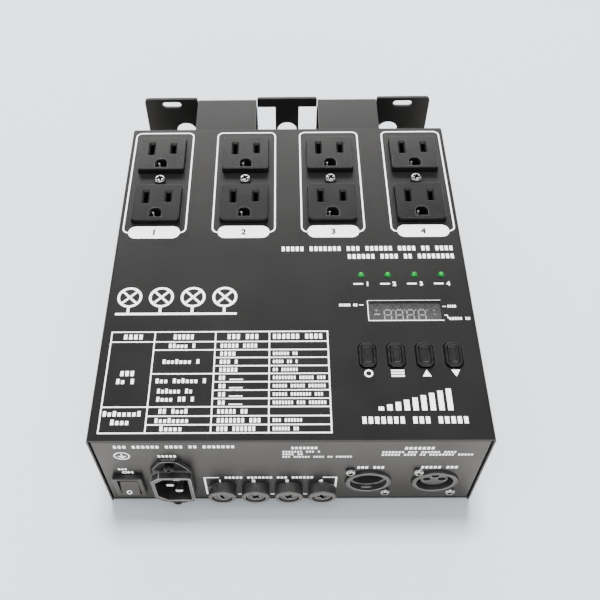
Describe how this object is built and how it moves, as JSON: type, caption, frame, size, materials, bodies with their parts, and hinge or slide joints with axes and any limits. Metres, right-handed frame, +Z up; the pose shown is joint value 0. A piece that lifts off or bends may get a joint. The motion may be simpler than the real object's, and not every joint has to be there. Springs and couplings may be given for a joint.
{
  "type": "dimmer pack",
  "caption": "Box-shaped stage dimmer pack with duplex mains outlets on top, a digital display, buttons, fuses, switch and signal sockets in front, and a folded hanging bracket behind.",
  "frame": {"origin": "middle of the box's base, where it stands on a floor", "axes": "+Z up, +Y back towards the hanging bracket, +X to the right of someone who faces the front panel"},
  "size_m": [0.1924, 0.2451, 0.0735],
  "materials": {
    "cover_paint": "satin black powder coat with a very fine texture",
    "panel_paint": "satin black powder coat",
    "bracket_paint": "satin black powder coat",
    "outlet_plastic": "satin black moulded plastic",
    "inlet_plastic": "semi-gloss black moulded plastic",
    "switch_plastic": "satin black moulded plastic",
    "fuse_plastic": "satin black moulded plastic",
    "socket_plastic": "satin black moulded plastic",
    "screw_steel": "bright nickel plate",
    "black_screw": "black zinc",
    "contact_metal": "bright nickel plate",
    "fuse_glass": "clear glass",
    "window_lens": "smoked clear plastic",
    "display_plastic": "dark grey face with unlit segments",
    "button_plastic": "soft-touch black plastic",
    "lamp_lens": "green tinted lens",
    "board_laminate": "green solder mask",
    "heat_sink_metal": "plain extruded aluminium"
  },
  "bodies": {
    "enclosure": {"top_cover": "cover_paint", "front_panel": "panel_paint", "base_chassis": "panel_paint", "hanging_bracket": "bracket_paint", "duplex_receptacle_1": "outlet_plastic", "duplex_receptacle_2": "outlet_plastic", "duplex_receptacle_3": "outlet_plastic", "duplex_receptacle_4": "outlet_plastic", "receptacle_screw_1": "screw_steel", "receptacle_screw_2": "screw_steel", "receptacle_screw_3": "screw_steel", "receptacle_screw_4": "screw_steel", "power_inlet": "inlet_plastic", "inlet_pin_line": "contact_metal", "inlet_pin_neutral": "contact_metal", "inlet_pin_earth": "contact_metal", "inlet_screw_1": "screw_steel", "inlet_screw_2": "screw_steel", "switch_housing": "switch_plastic", "fuse_holder_1": "fuse_plastic", "fuse_holder_2": "fuse_plastic", "fuse_holder_3": "fuse_plastic", "fuse_holder_4": "fuse_plastic", "signal_in_socket": "socket_plastic", "signal_in_pin_1": "contact_metal", "signal_in_pin_2": "contact_metal", "signal_in_pin_3": "contact_metal", "signal_out_socket": "socket_plastic", "socket_screw_1": "screw_steel", "socket_screw_2": "screw_steel", "socket_screw_3": "screw_steel", "socket_screw_4": "screw_steel", "display_window": "window_lens", "display_module": "display_plastic", "channel_led_1": "lamp_lens", "channel_led_2": "lamp_lens", "channel_led_3": "lamp_lens", "channel_led_4": "lamp_lens", "control_board": "board_laminate", "power_board": "board_laminate", "heat_sink": "heat_sink_metal", "cover_screw_1": "black_screw", "cover_screw_2": "black_screw", "cover_screw_3": "black_screw", "cover_screw_4": "black_screw", "bracket_screw_1": "black_screw", "bracket_screw_2": "black_screw"},
    "rocker": {"switch_rocker": "switch_plastic"},
    "button_1": {"menu_button_1": "button_plastic"},
    "button_2": {"menu_button_2": "button_plastic"},
    "button_3": {"menu_button_3": "button_plastic"},
    "button_4": {"menu_button_4": "button_plastic"},
    "fuse_1_body": {"fuse_1": "fuse_glass"},
    "fuse_2_body": {"fuse_2": "fuse_glass"},
    "fuse_3_body": {"fuse_3": "fuse_glass"},
    "fuse_4_body": {"fuse_4": "fuse_glass"},
    "fuse_1_cap": {"fuse_cap_1": "fuse_plastic"},
    "fuse_2_cap": {"fuse_cap_2": "fuse_plastic"},
    "fuse_3_cap": {"fuse_cap_3": "fuse_plastic"},
    "fuse_4_cap": {"fuse_cap_4": "fuse_plastic"}
  },
  "joints": [
    {"name": "rocker_tilt", "type": "hinge", "parent": "enclosure", "child": "rocker", "pos_m": [-0.08081, -0.1038, 0.0222], "axis": [1, 0, 0], "range_deg": [0, 18]},
    {"name": "button_1_press", "type": "slide", "parent": "enclosure", "child": "button_1", "axis": [0, 0, -1], "range_m": [0, 0.0008], "stiffness_N_per_m": 400, "springref_m": -0.0005},
    {"name": "button_2_press", "type": "slide", "parent": "enclosure", "child": "button_2", "axis": [0, 0, -1], "range_m": [0, 0.0008], "stiffness_N_per_m": 400, "springref_m": -0.0005},
    {"name": "button_3_press", "type": "slide", "parent": "enclosure", "child": "button_3", "axis": [0, 0, -1], "range_m": [0, 0.0008], "stiffness_N_per_m": 400, "springref_m": -0.0005},
    {"name": "button_4_press", "type": "slide", "parent": "enclosure", "child": "button_4", "axis": [0, 0, -1], "range_m": [0, 0.0008], "stiffness_N_per_m": 400, "springref_m": -0.0005},
    {"name": "fuse_1_pull", "type": "slide", "parent": "enclosure", "child": "fuse_1_body", "axis": [0, -1, 0], "range_m": [0, 0.031]},
    {"name": "fuse_2_pull", "type": "slide", "parent": "enclosure", "child": "fuse_2_body", "axis": [0, -1, 0], "range_m": [0, 0.031]},
    {"name": "fuse_3_pull", "type": "slide", "parent": "enclosure", "child": "fuse_3_body", "axis": [0, -1, 0], "range_m": [0, 0.031]},
    {"name": "fuse_4_pull", "type": "slide", "parent": "enclosure", "child": "fuse_4_body", "axis": [0, -1, 0], "range_m": [0, 0.031]},
    {"name": "fuse_1_cap_turn", "type": "hinge", "parent": "fuse_1_body", "child": "fuse_1_cap", "pos_m": [-0.03448, -0.1038, 0.0153], "axis": [0, -1, 0], "range_deg": [0, 90]},
    {"name": "fuse_2_cap_turn", "type": "hinge", "parent": "fuse_2_body", "child": "fuse_2_cap", "pos_m": [-0.01757, -0.1038, 0.0153], "axis": [0, -1, 0], "range_deg": [0, 90]},
    {"name": "fuse_3_cap_turn", "type": "hinge", "parent": "fuse_3_body", "child": "fuse_3_cap", "pos_m": [-0.00067, -0.1038, 0.0153], "axis": [0, -1, 0], "range_deg": [0, 90]},
    {"name": "fuse_4_cap_turn", "type": "hinge", "parent": "fuse_4_body", "child": "fuse_4_cap", "pos_m": [0.01624, -0.1038, 0.0153], "axis": [0, -1, 0], "range_deg": [0, 90]}
  ]
}
